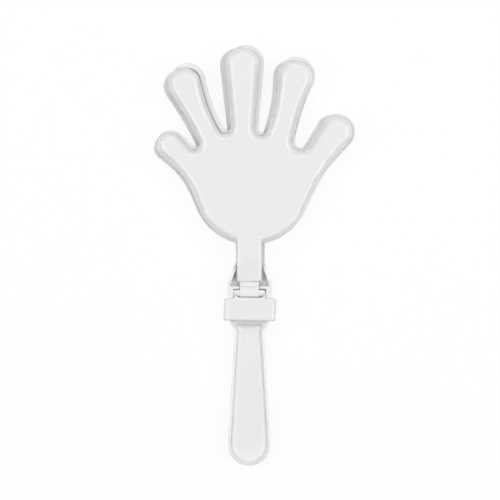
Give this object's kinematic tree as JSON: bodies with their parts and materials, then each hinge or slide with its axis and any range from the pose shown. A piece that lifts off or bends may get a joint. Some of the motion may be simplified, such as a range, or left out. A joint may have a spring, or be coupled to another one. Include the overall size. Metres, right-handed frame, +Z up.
{
  "type": "hand clapper",
  "caption": "Plastic toy hand clapper: a handle with a fixed centre hand between loose outer hands that swing on trunnions and slap against it.",
  "frame": {"origin": "on the surface the part lies on, below the middle of its bounding box", "axes": "+X to the thumb side, +Y from the handle to the fingertips, +Z up out of the front palm"},
  "size_m": [0.1349, 0.2817, 0.0232],
  "materials": {
    "white_moulding": "injection-moulded white plastic, smooth and softly glossy"
  },
  "bodies": {
    "handle": {"centre_hand_handle": "white_moulding", "collar": "white_moulding"},
    "front": {"front_hand": "white_moulding"},
    "rear": {"rear_hand": "white_moulding"}
  },
  "joints": [
    {"name": "front_swing", "type": "hinge", "parent": "handle", "child": "front", "pos_m": [-0.00293, -0.0254, 0.0178], "axis": [1, 0, 0], "range_deg": [0, 60]},
    {"name": "rear_swing", "type": "hinge", "parent": "handle", "child": "rear", "pos_m": [-0.00293, -0.0254, 0.0054], "axis": [-0.9997, -0.0236, 0], "range_deg": [0, 60]}
  ]
}
